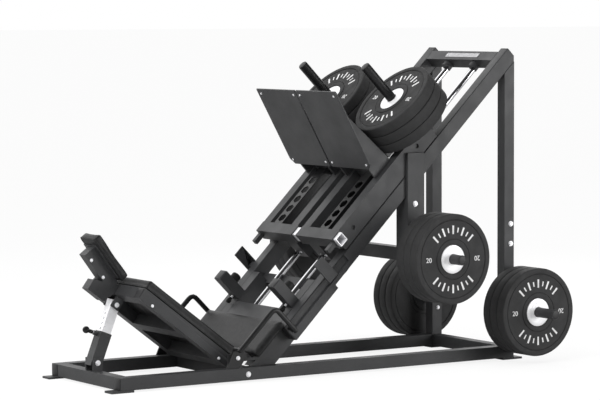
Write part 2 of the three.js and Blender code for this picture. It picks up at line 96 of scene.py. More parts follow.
RAIL_START = span("side_rail_left", UP_SLOPE)[0]
RAIL_TOP = span("side_rail_left", OFF_SLOPE)[1]
BACK_TOP_END = span("back_pad", DOWN_BACK)[0]
BOARD = span("back_pad", OFF_BACK)[0]
BASE_START = span("base_crossmember_front", X)[0]
STRUT_BACK = span("strut_outer", OFF_STRUT)[0] + 0.03
STRUT_FOOT = span("strut_outer", UP_STRUT)[0] + 0.022


def on_slope(u, y, w):
    """A place measured up the rails from their lower end, across, and above their top face."""
    return point(UP_SLOPE, RAIL_START + u, y, OFF_SLOPE, RAIL_TOP + w)


def on_back(b, y, p):
    """A place measured down the backrest from its top end, across, and above its board."""
    return point(DOWN_BACK, BACK_TOP_END + b, y, OFF_BACK, BOARD + p)


def on_head(b, y, p):
    """A place measured down the head pad from its top end, across, and above its face."""
    top, face = span("head_pad", DOWN_HEAD)[0], span("head_pad", OFF_HEAD)[1]
    return point(DOWN_HEAD, top + b, y, OFF_HEAD, face + p)


def on_strut(s, y, p):
    """A place measured up the strut from its lower pivot, across, and behind its centre line."""
    return point(UP_STRUT, STRUT_FOOT + s, y, OFF_STRUT, STRUT_BACK + p)


def on_base(x, y, z):
    return Vector((BASE_START + x, y, z))


def axes(origin, z_axis, x_axis):
    """A matrix that puts a piece's own z and x axes along these directions."""
    z = z_axis.normalized()
    x = (x_axis - z * x_axis.dot(z)).normalized()
    matrix = Matrix((x, z.cross(x), z)).transposed().to_4x4()
    matrix.translation = origin
    return matrix


# ---------------------------------------------------------------- camera, floor and light
def look_from_the_front_right():
    data = bpy.data.cameras.new("camera")
    data.lens = 163.8
    data.sensor_width = 36
    camera = bpy.data.objects.new("camera", data)
    bpy.context.scene.collection.objects.link(camera)
    yaw, pitch, roll = math.radians(32.62), math.radians(3.87), math.radians(-0.18)
    level = Matrix.Rotation(-yaw, 4, "Z")
    tipped = Matrix.Rotation(math.pi / 2 - pitch, 4, "X")
    turn = level @ tipped @ Matrix.Rotation(roll, 4, "Z")
    camera.matrix_world = Matrix.Translation((HEAD_END - 6.0495, -11.4293, 1.7548)) @ turn
    bpy.context.scene.camera = camera


def studio():
    scene = bpy.context.scene
    scene.view_settings.view_transform = "Standard"
    world = bpy.data.worlds.new("studio")
    world.use_nodes = True
    scene.world = world
    tree = world.node_tree
    tree.nodes.clear()
    output = tree.nodes.new("ShaderNodeOutputWorld")
    backdrop = tree.nodes.new("ShaderNodeBackground")
    backdrop.inputs["Color"].default_value = (1, 1, 1, 1)
    backdrop.inputs["Strength"].default_value = 1.0
    # The room is brightest overhead and behind the machine, and dark behind the camera. What steel
    # mirrors is a narrower bright patch beyond the far side, so the rods keep dark flanks.
    room = glow_toward(tree, (-0.5, 0.4, 0.77), 0.0, 0.11, 0.8, 1.9)
    mirrored = glow_toward(tree, (-0.06, 0.84, 0.54), 0.5, 0.08, 0.95, 2.6)
    path = tree.nodes.new("ShaderNodeLightPath")
    seen = tree.nodes.new("ShaderNodeMixShader")
    mix = tree.nodes.new("ShaderNodeMixShader")
    tree.links.new(path.outputs["Is Glossy Ray"], seen.inputs[0])
    tree.links.new(room, seen.inputs[1])
    tree.links.new(mirrored, seen.inputs[2])
    tree.links.new(path.outputs["Is Camera Ray"], mix.inputs[0])
    tree.links.new(seen.outputs[0], mix.inputs[1])
    tree.links.new(backdrop.outputs[0], mix.inputs[2])
    tree.links.new(mix.outputs[0], output.inputs[0])
    softbox("key", (-4.2, -2.6, 4.6), (0, 0, 0.6), 3.2, 240, mirrored=False)
    softbox("rim", (3.6, 3.4, 3.8), (0.3, 0, 0.8), 2.6, 60)
    softbox("fill", (4.4, -5.6, 1.7), (0.2, 0, 0.7), 3.4, 215)


SKY_STRENGTH = 0.62


def glow_toward(tree, direction, dark_from, dark, bright_from, bright):
    """A background that brightens toward one direction, between two values of the cosine to it."""
    place = tree.nodes.new("ShaderNodeTexCoord")
    toward = tree.nodes.new("ShaderNodeVectorMath")
    toward.operation = "DOT_PRODUCT"
    toward.inputs[1].default_value = direction
    ramp = tree.nodes.new("ShaderNodeValToRGB")
    steps = ((dark_from, dark), (bright_from, bright))
    for element, (position, level) in zip(ramp.color_ramp.elements, steps):
        element.position = position
        element.color = (level, level, level, 1)
    glow = tree.nodes.new("ShaderNodeBackground")
    glow.inputs["Strength"].default_value = SKY_STRENGTH
    tree.links.new(place.outputs["Generated"], toward.inputs[0])
    tree.links.new(toward.outputs["Value"], ramp.inputs[0])
    tree.links.new(ramp.outputs[0], glow.inputs["Color"])
    return glow.outputs[0]


def softbox(name, place, target, size, power, mirrored=True):
    """A square area light. One that isn't mirrored lights surfaces but doesn't show in polished steel."""
    data = bpy.data.lights.new(name, "AREA")
    data.shape = "SQUARE"
    data.size = size
    data.energy = power
    light = bpy.data.objects.new(name, data)
    light.visible_glossy = mirrored
    bpy.context.scene.collection.objects.link(light)
    away = Vector(place) - Vector(target)
    light.matrix_world = axes(Vector(place), away, Y.cross(away))


def floor():
    size = 300
    mesh = bpy.data.meshes.new("floor")
    corners = [(-size, -size, 0), (size, -size, 0), (size, size, 0), (-size, size, 0)]
    mesh.from_pydata(corners, [], [(0, 1, 2, 3)])
    ground = bpy.data.objects.new("floor", mesh)
    bpy.context.scene.collection.objects.link(ground)
    ground.data.materials.append(FLOOR)


# ---------------------------------------------------------------- materials
class Finish:
    """A node material in the object's own space. Each step adds one kind of detail."""

    def __init__(self, name, color, roughness, metallic=0.0, specular=0.5):
        self.material = bpy.data.materials.new(name)
        self.material.use_nodes = True
        self.tree = self.material.node_tree
        self.shader = self.tree.nodes["Principled BSDF"]
        self.shader.inputs["Metallic"].default_value = metallic
        self.shader.inputs["Specular IOR Level"].default_value = specular
        self.color, self.roughness = color, roughness
        self.shader.inputs["Base Color"].default_value = (*color, 1)
        self.shader.inputs["Roughness"].default_value = roughness
        self.place = self.node("ShaderNodeTexCoord").outputs["Object"]
        self.height = None

    def node(self, kind, **settings):
        node = self.tree.nodes.new(kind)
        for key, value in settings.items():
            setattr(node, key, value)
        return node

    def link(self, source, target):
        self.tree.links.new(source, target)

    def noise(self, scale, detail=3, rough=0.55):
        noise = self.node("ShaderNodeTexNoise")
        noise.inputs["Scale"].default_value = scale
        noise.inputs["Detail"].default_value = detail
        noise.inputs["Roughness"].default_value = rough
        self.link(self.place, noise.inputs["Vector"])
        return noise.outputs["Fac"]

    def cells(self, scale):
        """The distance to the edges of warped cells."""
        cells = self.node("ShaderNodeTexVoronoi", feature="DISTANCE_TO_EDGE")
        cells.inputs["Scale"].default_value = scale
        warp = self.node("ShaderNodeVectorMath", operation="MULTIPLY_ADD")
        wobble = self.node("ShaderNodeTexNoise")
        wobble.inputs["Scale"].default_value = scale * 0.35
        self.link(self.place, wobble.inputs["Vector"])
        self.link(wobble.outputs["Color"], warp.inputs[0])
        warp.inputs[1].default_value = (1.1 / scale,) * 3
        self.link(self.place, warp.inputs[2])
        self.link(warp.outputs[0], cells.inputs["Vector"])
        return cells.outputs["Distance"]

    def ranged(self, value, low, high, start=0.3, end=0.7):
        spread = self.node("ShaderNodeMapRange")
        spread.inputs["From Min"].default_value = start
        spread.inputs["From Max"].default_value = end
        spread.inputs["To Min"].default_value = low
        spread.inputs["To Max"].default_value = high
        self.link(value, spread.inputs["Value"])
        return spread.outputs["Result"]

    def shade(self, value, low, high, start=0.3, end=0.7):
        """Multiplies the colour, from low to high, by a pattern. Shades stack."""
        factor = self.ranged(value, low, high, start, end)
        mix = self.node("ShaderNodeVectorMath", operation="SCALE")
        socket = self.shader.inputs["Base Color"]
        if socket.is_linked:
            self.link(socket.links[0].from_socket, mix.inputs[0])
        else:
            mix.inputs[0].default_value = self.color
        self.link(factor, mix.inputs["Scale"])
        self.link(mix.outputs[0], socket)

    def polish(self, value, spread, start=0.3, end=0.7):
        self.link(
            self.ranged(value, self.roughness - spread, self.roughness + spread, start, end),
            self.shader.inputs["Roughness"],
        )

    def bump(self, value, distance, strength=1.0):
        """Raises the surface by a pattern. Bumps stack."""
        bump = self.node("ShaderNodeBump")
        bump.inputs["Distance"].default_value = distance
        bump.inputs["Strength"].default_value = strength
        self.link(value, bump.inputs["Height"])
        socket = self.shader.inputs["Normal"]
        if socket.is_linked:
            self.link(socket.links[0].from_socket, bump.inputs["Normal"])
        self.link(bump.outputs["Normal"], socket)


def powder_coat(name, color, roughness=0.5, specular=0.4):
    """Powder coat: an even charcoal with a fine orange-peel surface and faint handling marks."""
    finish = Finish(name, color, roughness, specular=specular)
    finish.shade(finish.noise(5, 4), 0.9, 1.12)
    finish.shade(finish.noise(900, 2), 0.8, 1.25)
    finish.polish(finish.noise(9, 5), 0.07)
    finish.bump(finish.noise(700, 2), 0.00022, 0.5)
    return finish.material


def plated(name, color, roughness, metallic=1.0, haze=0.3):
    """Plated or machined steel, with faint polishing haze."""
    finish = Finish(name, color, roughness, metallic=metallic)
    finish.polish(finish.noise(45, 3), roughness * haze)
    finish.shade(finish.noise(8, 2), 0.97, 1.02)
    finish.bump(finish.noise(520, 2), 0.00003, 0.25)
    return finish.material


def rubber(name, color, roughness=0.72):
    """Pressed rubber: matt, with small crumbs and a cloudy bloom."""
    finish = Finish(name, color, roughness, specular=0.35)
    finish.shade(finish.noise(11, 4), 0.85, 1.15)
    finish.shade(finish.noise(1100, 2), 0.75, 1.3)
    finish.polish(finish.noise(25, 4), 0.08)
    finish.bump(finish.noise(850, 3), 0.00025, 0.6)
    return finish.material


def leather(name, color, cell, painted_crease_shade):
    """Embossed vinyl: warped pebbles, with a painted highlight on their tops and painted shade in the
    creases between them.
    """
    finish = Finish(name, color, 0.52, specular=0.26)
    pebbles = finish.cells(cell)
    # Painted shade and highlight: the colour darkens towards the pebble edges (the creases) and lightens
    # on the pebble tops, following the bump pattern.
    finish.shade(pebbles, 1 - painted_crease_shade, 1 + painted_crease_shade, 0.02, 0.4)
    finish.shade(finish.noise(55, 5, 0.7), 0.6, 1.55)
    finish.shade(finish.noise(6, 3), 0.85, 1.15)
    finish.polish(pebbles, 0.1, 0.0, 0.4)
    finish.bump(pebbles, 0.0006, 0.55)
    finish.bump(finish.noise(1500, 2), 0.0002, 0.3)
    return finish.material


def moulded(name, color, roughness):
    finish = Finish(name, color, roughness, specular=0.4)
    finish.shade(finish.noise(20, 3), 0.9, 1.1)
    finish.polish(finish.noise(40, 3), 0.05)
    finish.bump(finish.noise(1300, 2), 0.0001, 0.35)
    return finish.material


def pale_floor():
    """A white studio sweep: it glows a little for the camera, so that it blends into the backdrop."""
    finish = Finish("floor_paint", (0.55, 0.55, 0.55), 0.85, specular=0.0)
    finish.shade(finish.noise(2, 3), 0.99, 1.01)
    tree = finish.tree
    glow = finish.node("ShaderNodeEmission")
    glow.inputs["Strength"].default_value = 1.16
    share = finish.node("ShaderNodeMath", operation="MULTIPLY")
    share.inputs[1].default_value = 0.74
    blend = finish.node("ShaderNodeMixShader")
    finish.link(finish.node("ShaderNodeLightPath").outputs["Is Camera Ray"], share.inputs[0])
    finish.link(share.outputs[0], blend.inputs[0])
    finish.link(finish.shader.outputs[0], blend.inputs[1])
    finish.link(glow.outputs[0], blend.inputs[2])
    finish.link(blend.outputs[0], tree.nodes["Material Output"].inputs["Surface"])
    return finish.material


POWDER = powder_coat("powder", (0.0365, 0.037, 0.0385))
BLACK = powder_coat("black_steel", (0.009, 0.009, 0.0095), 0.42)
CHROME = plated("chrome", (0.8, 0.8, 0.82), 0.07)
ZINC = plated("zinc", (0.9, 0.9, 0.92), 0.38, 0.3)
HUB_STEEL = plated("hub_steel", (0.93, 0.93, 0.94), 0.42, 0.25, 0.15)
NAMEPLATE = plated("nameplate", (0.42, 0.42, 0.43), 0.42, 0.8)
PLATE_RUBBER = rubber("plate_rubber", (0.029, 0.029, 0.0295))
BUMPER_RUBBER = rubber("bumper_rubber", (0.012, 0.012, 0.012), 0.6)
VINYL = leather("vinyl", (0.0175, 0.0175, 0.018), 260, 0.45)
WELT = moulded("welt", (0.014, 0.014, 0.0145), 0.5)
WHITE_INK = moulded("white_ink", (0.78, 0.78, 0.78), 0.5)
CAP_PLASTIC = moulded("cap_plastic", (0.02, 0.02, 0.021), 0.45)
PIN_PLASTIC = moulded("pin_plastic", (0.008, 0.008, 0.008), 0.35)
FLOOR = pale_floor()


# ---------------------------------------------------------------- mesh helpers
SMOOTH_ANGLE = math.radians(32)


def soften(mesh):
    """Shades a mesh smooth, but for its sharp edges."""
    for face in mesh.polygons:
        face.use_smooth = True
    mesh.set_sharp_from_angle(angle=SMOOTH_ANGLE)


def new_piece(name, mesh, body, paint, matrix=None):
    piece = bpy.data.objects.new(name, mesh)
    bpy.context.scene.collection.objects.link(piece)
    if matrix is not None:
        piece.matrix_world = matrix
    if not mesh.materials:
        mesh.materials.append(paint)
    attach(piece, body)
    return piece


def shape(name, build):
    """A mesh made by a function that fills a bmesh."""
    work = bmesh.new()
    build(work)
    bmesh.ops.recalc_face_normals(work, faces=work.faces)
    mesh = bpy.data.meshes.new(name)
    work.to_mesh(mesh)
    work.free()
    return mesh


def ring(work, count, radius, height):
    """Points round a level circle about z."""
    turns = [2 * math.pi * k / count for k in range(count)]
    return [work.verts.new((radius * math.cos(t), radius * math.sin(t), height)) for t in turns]


def lathe_mesh(name, profile, segments):
    """A closed profile of (radius, height) points turned round z. Points on the axis make a pole."""

    def build(work):
        rings = []
        for radius, height in profile:
            if radius < 1e-6:
                rings.append([work.verts.new((0, 0, height))])
                continue
            rings.append(ring(work, segments, radius, height))
        on_axis = len(rings[0]) == 1 and len(rings[-1]) == 1
        pairs = list(zip(rings, rings[1:] if on_axis else rings[1:] + rings[:1]))
        for a, b in pairs:
            for k in range(segments):
                n = (k + 1) % segments
                if len(a) == 1:
                    work.faces.new((a[0], b[k], b[n]))
                elif len(b) == 1:
                    work.faces.new((a[k], b[0], a[n]))
                else:
                    work.faces.new((a[k], b[k], b[n], a[n]))

    mesh = shape(name, build)
    soften(mesh)
    return mesh


def prism(work, outline, low, high):
    """Adds a straight prism on a flat outline of (x, y) points."""
    bottom = [work.verts.new((x, y, low)) for x, y in outline]
    top = [work.verts.new((x, y, high)) for x, y in outline]
    work.faces.new(bottom[::-1])
    work.faces.new(top)
    for k in range(len(outline)):
        n = (k + 1) % len(outline)
        work.faces.new((bottom[k], bottom[n], top[n], top[k]))


BEVEL_ANGLE = math.radians(28)


def bevel(piece, width, segments):
    edge = piece.modifiers.new("bevel", "BEVEL")
    edge.width = width
    edge.segments = segments
    edge.limit_method = "ANGLE"
    edge.angle_limit = BEVEL_ANGLE
    even = piece.modifiers.new("even", "WEIGHTED_NORMAL")
    even.mode = "FACE_AREA"
    even.keep_sharp = True


def rounded_outline(width, height, radius, steps=5):
    """The points of a rectangle with rounded corners, anticlockwise."""
    outline = []
    for corner in range(4):
        start = corner * math.pi / 2
        cx = (width / 2 - radius) * (1 if corner in (0, 3) else -1)
        cy = (height / 2 - radius) * (1 if corner in (0, 1) else -1)
        for k in range(steps + 1):
            t = start + k * math.pi / 2 / steps
            outline.append((cx + radius * math.cos(t), cy + radius * math.sin(t)))
    return outline


# ---------------------------------------------------------------- CAD nodes that stay
def dress(node, paint, width, segments=3, merge_faces=True):
    """Cleans the flat faces, rounds the edges and paints a CAD node."""
    piece = frame["nodes"][node]
    weld = piece.modifiers.new("weld", "WELD")
    weld.merge_threshold = 1e-5
    if merge_faces:
        flat = piece.modifiers.new("flat", "DECIMATE")
        flat.decimate_type = "DISSOLVE"
        flat.angle_limit = math.radians(1)
    bevel(piece, width, segments)
    piece.data.materials.clear()
    piece.data.materials.append(paint)
    for face in piece.data.polygons:
        face.use_smooth = True


def dress_the_frame():
    for side in SIDES:
        for node in ("base_rail", "rear_upright", "drop_upright"):
            dress(f"{node}_{side}", POWDER, 0.004)
        dress(f"side_rail_{side}", POWDER, 0.004, merge_faces=False)
        dress(f"carriage_frame_{side}", POWDER, 0.0035)
        dress(f"foot_plate_{side}", POWDER, 0.002)
        dress(f"ladder_rack_{side}", BLACK, 0.0012, 2)
        dress(f"stop_post_{side}", POWDER, 0.006)
        dress(f"rail_stop_{side}", POWDER, 0.002)
    for node in ("base_crossmember_front", "base_crossmember_rear", "drop_crossbar", "top_crossbar"):
        dress(node, POWDER, 0.003)
    for node in ("seat_frame", "back_frame", "head_frame"):
        dress(node, POWDER, 0.003)
    dress("strut_outer", POWDER, 0.0018)
    dress("strut_inner", ZINC, 0.0015)
    dress("lock_bar", ZINC, 0.0018)


# ---------------------------------------------------------------- weight plates
HUB_R = 0.071
PLATE_BORE = 0.0256
RING_R = 0.096
RIM_R = 0.193


def plate_mesh(radius, thick):
    """One pressed rubber plate: a raised hub land, a sunk face between two grooves, and a rounded rim."""
    sunk, groove, edge = 0.0025, 0.0022, 0.007
    half = thick / 2
    face = [
        (HUB_R, half - 0.004),
        (HUB_R + 0.0015, half - 0.0008),
        (HUB_R + 0.004, half - 0.0003),
        (RING_R - 0.003, half - 0.0003),
        (RING_R - 0.0005, half - 0.001),
        (RING_R + 0.001, half - sunk - groove),
        (RING_R + 0.0035, half - sunk - groove),
        (RING_R + 0.005, half - sunk),
        (RIM_R - 0.004, half - sunk),
        (RIM_R - 0.0025, half - sunk - groove),
        (RIM_R, half - sunk - groove),
        (RIM_R + 0.0025, half - 0.0006),
        (RIM_R + 0.005, half),
        (radius - edge, half),
    ]
    corner = [
        (radius - edge + edge * math.sin(t), half - edge + edge * math.cos(t))
        for t in (math.pi / 8, math.pi / 4, 3 * math.pi / 8, math.pi / 2)
    ]
    upper = [(HUB_R, half - 0.012), *face, *corner]
    profile = [*upper, *[(r, -z) for r, z in reversed(upper)]]
    return lathe_mesh("weight_plate", profile, 128)


def hub_mesh(thick):
    """The steel insert: a sleeve round the bore and a turned disc on each face."""
    half = thick / 2
    face = [
        (PLATE_BORE, half - 0.0015),
        (PLATE_BORE + 0.0015, half),
        (PLATE_BORE + 0.006, half),
        (PLATE_BORE + 0.0072, half - 0.0022),
        (0.045, half - 0.0024),
        (0.0458, half - 0.0032),
        (0.0478, half - 0.0032),
        (0.0486, half - 0.0024),
        (HUB_R - 0.0035, half - 0.0024),
        (HUB_R - 0.001, half - 0.0038),
    ]
    profile = [*face, (HUB_R - 0.001, half - 0.011), (HUB_R - 0.001, 0.011 - half)]
    profile += [(r, -z) for r, z in reversed(face)]
    return lathe_mesh("plate_hub", profile, 96)


def marks_mesh(height, low):
    """White dial-like ticks in two arcs, and the number 20 at both sides."""
    number = bpy.data.curves.new("number", "FONT")
    number.body = "20"
    number.size = 0.034
    number.extrude = height / 2
    number.align_x = "CENTER"
    number.align_y = "CENTER"
    holder = bpy.data.objects.new("number", number)
    digits = bpy.data.meshes.new_from_object(holder)
    bpy.data.objects.remove(holder)
    centre = (RING_R + RIM_R) / 2

    def build(work):
        for turn in (0, math.pi):
            for k in range(9):
                a = turn + math.pi / 2 + math.radians(11.5) * (k - 4)
                long = 0.021 if k % 2 == 0 else 0.012
                wide = 0.0042 if k % 2 == 0 else 0.003
                outline = []
                for r, w in ((-long, -wide), (long, -wide * 1.2), (long, wide * 1.2), (-long, wide)):
                    x, y = centre + r, w
                    outline.append((x * math.cos(a) - y * math.sin(a), x * math.sin(a) + y * math.cos(a)))
                prism(work, outline, low, low + height)
        for turn in (0, math.pi):
            start = len(work.verts)
            work.from_mesh(digits)
            work.verts.ensure_lookup_table()
            place = Matrix.Translation((-centre if turn == 0 else centre, 0, low + height / 2))
            spin = Matrix.Rotation(turn, 4, "Z")
            for v in work.verts[start:]:
                v.co = place @ spin @ v.co

    mesh = shape("plate_marks", build)
    bpy.data.meshes.remove(digits)
    return mesh


def weight_plates():
    names = [f"{g}_{s}" for g in ("storage_front", "storage_rear", "carriage_plate") for s in SIDES]
    radius = (span("storage_front_left_1", X)[1] - span("storage_front_left_1", X)[0]) / 2
    low, high = span("storage_front_left_1", Y)
    thick = high - low
    rubber_mesh = plate_mesh(radius, thick)
    steel_mesh = hub_mesh(thick)
    ink_mesh = marks_mesh(0.0012, thick / 2 - 0.0027)
    rubber_mesh.materials.append(PLATE_RUBBER)
    steel_mesh.materials.append(HUB_STEEL)
    ink_mesh.materials.append(WHITE_INK)
    for name in names:
        sign = SIDES[name.rsplit("_", 1)[1]]
        if name.startswith("carriage"):
            out, reading, a, b = OFF_SLOPE, -Y, UP_SLOPE, OFF_SLOPE
        else:
            out, reading, a, b = Y * sign, X * -sign, X, Z
        for i in (1, 2, 3):
            node = f"{name}_{i}"
            centre = point(a, middle(node, a), middle(node, Y), b, middle(node, b))
            matrix = axes(centre, out, reading)
            disc = new_piece(f"{node}_rubber", rubber_mesh, name, PLATE_RUBBER, matrix)
            hub = new_piece(f"{node}_hub", steel_mesh, name, HUB_STEEL, matrix)
            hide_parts(node)
            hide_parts(node)
        new_piece(f"{name}_marks", ink_mesh, name, WHITE_INK, matrix)


# ---------------------------------------------------------------- round pieces
def rod_profile(radius, length, edge):
    """Half outline of a round bar from z = 0 up, with rounded ends."""
    turns = [k * math.pi / 8 for k in range(5)]
    arc = [(radius - edge + edge * math.sin(t), edge - edge * math.cos(t)) for t in turns]
    return [(0, 0), *arc, *[(r, length - z) for r, z in reversed(arc)], (0, length)]


def guide_rods():
    for side in SIDES:
        node = f"guide_rod_{side}"
        low, high = span(node, UP_SLOPE)
        radius = (span(node, Y)[1] - span(node, Y)[0]) / 2
        foot = point(UP_SLOPE, low, middle(node, Y), OFF_SLOPE, middle(node, OFF_SLOPE))
        mesh = lathe_mesh(node, rod_profile(radius, high - low, 0.0015), 48)
        rod = new_piece(f"{node}_polished", mesh, "frame", CHROME, axes(foot, UP_SLOPE, Y))
        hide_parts(node)


def horn_sleeve(name, body, foot, out, length, radius):
    """A smooth tube over a plate horn, with a rounded end cap."""
    mesh = lathe_mesh(name, rod_profile(radius, length, 0.006), 48)
    new_piece(name, mesh, body, BLACK, axes(foot, out, Z.cross(out) + X))


def horns():
    shaft = 0.0244
    for side, sign in SIDES.items():
        out = Y * sign
        for upright, stack in (("drop_upright", "storage_front"), ("rear_upright", "storage_rear")):
            node = f"{upright}_{side}"
            tip = max(abs(v) for v in span(node, Y))
            root = min(abs(v) for v in span(f"{stack}_{side}_1", Y)) - 0.02
            plate = f"{stack}_{side}_1"
            foot = Vector((middle(plate, X), sign * root, middle(plate, Z)))
            horn_sleeve(f"{stack}_horn_{side}", "frame", foot, out, tip - root + 0.002, shaft)
        node = f"carriage_horn_{side}"
        low, high = span(node, OFF_SLOPE)
        base = span(f"carriage_plate_{side}_1", OFF_SLOPE)[0] - low
        flange = [(0, 0), (0.055, 0), (0.055, 0.01), (0.05, 0.013), (0.036, 0.014), (0.034, 0.02)]
        collar = [(0.034, base - 0.001), (shaft, base - 0.001)]
        tip = ((shaft, -0.006), (shaft - 0.002, -0.0015), (shaft - 0.006, 0), (0, 0))
        profile = [*flange, *collar, *[(r, z + high - low) for r, z in tip]]
        foot = point(UP_SLOPE, middle(node, UP_SLOPE), middle(node, Y), OFF_SLOPE, low)
        mesh, place = lathe_mesh(node, profile, 48), axes(foot, OFF_SLOPE, Y)
        horn = new_piece(f"{node}_turned", mesh, f"carriage_{side}", BLACK, place)
        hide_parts(node)


def stops():
    for side in SIDES:
        body = f"stop_{side}"
        bumper = f"stop_bumper_{side}"
        low, high = span(bumper, UP_SLOPE)
        long = high - low
        r = (span(bumper, Y)[1] - span(bumper, Y)[0]) / 2
        y = middle(bumper, Y)
        foot = point(UP_SLOPE, low, y, OFF_SLOPE, middle(bumper, OFF_SLOPE))
        profile = [(0, 0), (r * 0.96, 0), (r, 0.003), (r, long - 0.009), (r * 0.93, long - 0.003)]
        profile += [(r * 0.75, long), (0.008, long), (0.0065, long - 0.004), (0, long - 0.004)]
        mesh, place = lathe_mesh(bumper, profile, 48), axes(foot, UP_SLOPE, Y)
        cushion = new_piece(f"{bumper}_moulded", mesh, body, BUMPER_RUBBER, place)
        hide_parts(bumper)
        pin = f"stop_pin_{side}"
        low, high = span(pin, UP_SLOPE)
        long = high - low
        end = point(UP_SLOPE, high, middle(pin, Y), OFF_SLOPE, middle(pin, OFF_SLOPE))
        shaft = [(0, 0), (0.0045, 0), (0.006, 0.0015), (0.006, long - 0.03), (0, long - 0.03)]
        knob = [(0, long - 0.031), (0.0085, long - 0.031), (0.0095, long - 0.029)]
        knob += [(0.0095, long - 0.022), (0.013, long - 0.018), (0.0134, long - 0.008)]
        knob += [(0.012, long - 0.003), (0.008, long), (0, long)]
        shaft_mesh, knob_mesh = lathe_mesh("pin_shaft", shaft, 32), lathe_mesh("pin_knob", knob, 40)
        place = axes(end, -UP_SLOPE, Y)
        rod = new_piece(f"{pin}_shaft", shaft_mesh, pin, ZINC, place)
        grip = new_piece(f"{pin}_knob", knob_mesh, pin, PIN_PLASTIC, place)
        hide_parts(pin)
        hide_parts(pin)


def strut_pull_pin():
    node = "strut_pin"
    low, high = span(node, OFF_STRUT)
    foot = point(UP_STRUT, middle(node, UP_STRUT), 0, OFF_STRUT, low)
    long = high - low
    ball = 0.017
    shaft = [(0, 0), (0.005, 0), (0.006, 0.002), (0.006, long - ball), (0, long - ball)]
    neck = long - 2 * ball
    grip = [(0, 0.034), (0.0085, 0.034), (0.0095, 0.036), (0.0095, 0.05), (0.0075, 0.053), (0.0075, neck)]
    turns = [math.pi * k / 16 for k in range(3, 16)]
    grip += [(ball * math.sin(t), long - ball + ball * -math.cos(t)) for t in turns]
    grip += [(0, long)]
    body, place = "strut_pull_pin", axes(foot, OFF_STRUT, Y)
    shaft_mesh = lathe_mesh("strut_pin_shaft", shaft, 32)
    knob_mesh = lathe_mesh("strut_pin_knob", grip, 40)
    rod = new_piece("strut_pin_shaft", shaft_mesh, body, ZINC, place)
    knob = new_piece("strut_pin_knob", knob_mesh, body, PIN_PLASTIC, place)
    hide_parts(node)
    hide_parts(node)


# ---------------------------------------------------------------- hand grips
def hand_grips():
    for side in SIDES:
        dress(f"hand_grip_{side}", BLACK, 0.0012, 2)


# ---------------------------------------------------------------- fasteners
def hex_bolt_mesh(across_flats, head, washer_r, washer):
    """A hexagon head on a round washer, with a domed chamfer, standing on z = 0."""
    r = across_flats / 2 / math.cos(math.pi / 6)

    def build(work):
        turns = [2 * math.pi * k / 40 for k in range(40)]
        prism(work, [(washer_r * math.cos(t), washer_r * math.sin(t)) for t in turns], 0, washer)
        top = washer + head
        steps = ((1, washer), (1, washer + head * 0.8), (0.9, top), (0.55, top))
        rings = [ring(work, 6, r * scale, z) for scale, z in steps]
        work.faces.new(rings[0][::-1])
        for a, b in zip(rings, rings[1:]):
            for k in range(6):
                n = (k + 1) % 6
                work.faces.new((a[k], a[n], b[n], b[k]))
        work.faces.new(rings[-1])

    return shape("hex_bolt", build)


def bolt(name, body, place, out, size=1.0):
    """A plated hexagon bolt that stands on a face. Its turn follows its name, so each sits differently."""
    turn = Matrix.Rotation(sum(map(ord, name)) % 60 * math.pi / 180, 4, "Z")
    side = X if abs(out.normalized().dot(X)) < 0.7 else Y
    piece = new_piece(name, BOLT.copy(), body, ZINC, axes(place, out, side) @ turn)
    piece.data.transform(Matrix.Scale(size, 4))


def screw(name, body, place, out):
    new_piece(name, SCREW, body, ZINC, axes(place, out, Y))


def joint_place(name):
    return Vector(next(j for j in frame["joints"] if j["name"] == name)["pos_m"])


# The foot plates rise 0.426 m off the slope for 0.118 m along it.
FOOT_PLATE_LEAN = math.atan2(0.118, 0.426)


